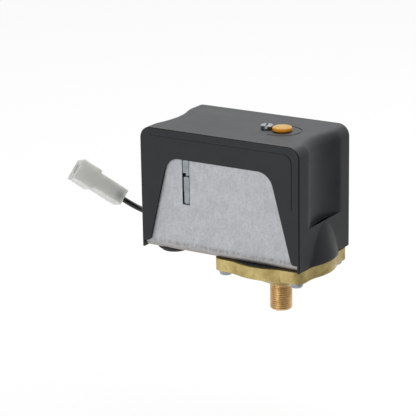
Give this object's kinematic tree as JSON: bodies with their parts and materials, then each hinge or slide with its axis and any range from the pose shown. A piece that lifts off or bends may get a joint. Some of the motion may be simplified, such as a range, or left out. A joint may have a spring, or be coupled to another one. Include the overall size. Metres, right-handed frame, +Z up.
{
  "type": "mechanical pressure switch",
  "caption": "Mechanical pressure switch: brass threaded port under a sheet-steel frame and a moulded snap cover, with setting knob, slotted adjuster and a short lead with a plug.",
  "frame": {"origin": "on the pressure port's axis, at the shoulder where its thread meets the domed casting", "axes": "+Z up along the port's axis out of the pipe, +X to the right along the front plate, front faces -Y"},
  "size_m": [0.1657, 0.065, 0.1095],
  "materials": {
    "moulding_black": "matt moulded",
    "galvanised_sheet": "galvanised, dull spangle",
    "cast_brass": "dull cast",
    "turned_brass": "turned",
    "zinc_plated_steel": "zinc plated",
    "spring_steel": "bright drawn wire",
    "rubber_black": "matt",
    "knob_orange": "satin moulded",
    "phenolic_black": "moulded thermoset",
    "carrier_ivory": "moulded",
    "contact_brass": "bright strip",
    "lead_black": "smooth sheath",
    "nylon_natural": "translucent moulding"
  },
  "bodies": {
    "frame_body": {"cover": "moulding_black", "frame": "galvanised_sheet", "port_flange": "cast_brass", "port_nipple": "turned_brass", "diaphragm": "rubber_black", "flange_screws": "zinc_plated_steel", "spring_yoke": "zinc_plated_steel", "yoke_screws": "zinc_plated_steel", "earth_screw": "contact_brass", "pivot_pin": "zinc_plated_steel", "pivot_clip": "spring_steel", "pivot_spacers": "zinc_plated_steel", "range_spring": "spring_steel", "differential_spring": "spring_steel", "contact_block": "phenolic_black", "block_screws": "zinc_plated_steel", "fixed_contacts": "contact_brass", "terminal_screws": "zinc_plated_steel", "guide_bracket": "zinc_plated_steel", "guide_screws": "zinc_plated_steel", "cable_grommet": "rubber_black", "lead_bush": "rubber_black", "lead": "lead_black", "lead_core": "lead_black", "connector_housing": "nylon_natural", "connector_pin": "contact_brass"},
    "range_knob_body": {"range_knob": "knob_orange", "range_spindle": "zinc_plated_steel", "range_clip": "spring_steel"},
    "range_nut_body": {"range_nut": "zinc_plated_steel"},
    "differential_screw_body": {"differential_screw": "zinc_plated_steel", "differential_clip": "spring_steel"},
    "differential_nut_body": {"differential_nut": "zinc_plated_steel"},
    "lever_body": {"rocker_lever": "zinc_plated_steel"},
    "plunger_body": {"plunger": "cast_brass"},
    "carrier_body": {"contact_carrier": "carrier_ivory", "position_flag": "zinc_plated_steel", "contact_bridges": "contact_brass", "contact_springs": "spring_steel"}
  },
  "joints": [
    {"name": "plunger_lift", "type": "slide", "parent": "frame_body", "child": "plunger_body", "axis": [0, 0, 1], "range_m": [0, 0.00094]},
    {"name": "lever_rock", "type": "hinge", "parent": "frame_body", "child": "lever_body", "pos_m": [0.018, 0, 0.038], "axis": [0, 1, 0], "range_deg": [0, 3], "stiffness_Nm_per_rad": 0.5, "springref_deg": -2.86},
    {"name": "carrier_lift", "type": "slide", "parent": "frame_body", "child": "carrier_body", "axis": [0, 0, 1], "range_m": [0, 0.0021]},
    {"name": "range_nut_travel", "type": "slide", "parent": "frame_body", "child": "range_nut_body", "axis": [0, 0, 1], "range_m": [-0.0023, 0.0023], "deforming": ["range_spring"]},
    {"name": "range_knob_turn", "type": "hinge", "parent": "frame_body", "child": "range_knob_body", "pos_m": [0.0019, -0.0012, 0.08], "axis": [0, 0, 1], "range_deg": [-1040, 1040]},
    {"name": "differential_nut_travel", "type": "slide", "parent": "frame_body", "child": "differential_nut_body", "axis": [0, 0, 1], "range_m": [-0.0013, 0.0013], "deforming": ["differential_spring"]},
    {"name": "differential_screw_turn", "type": "hinge", "parent": "frame_body", "child": "differential_screw_body", "pos_m": [-0.008, -0.0012, 0.08], "axis": [0, 0, 1], "range_deg": [-673, 673]}
  ],
  "couplings": [
    {"joint": "lever_rock", "follows": "plunger_lift", "rad_per_m": 55.556},
    {"joint": "carrier_lift", "follows": "plunger_lift", "ratio": 2.2222},
    {"joint": "range_knob_turn", "follows": "range_nut_travel", "rad_per_m": -7854},
    {"joint": "differential_screw_turn", "follows": "differential_nut_travel", "rad_per_m": -8976}
  ]
}
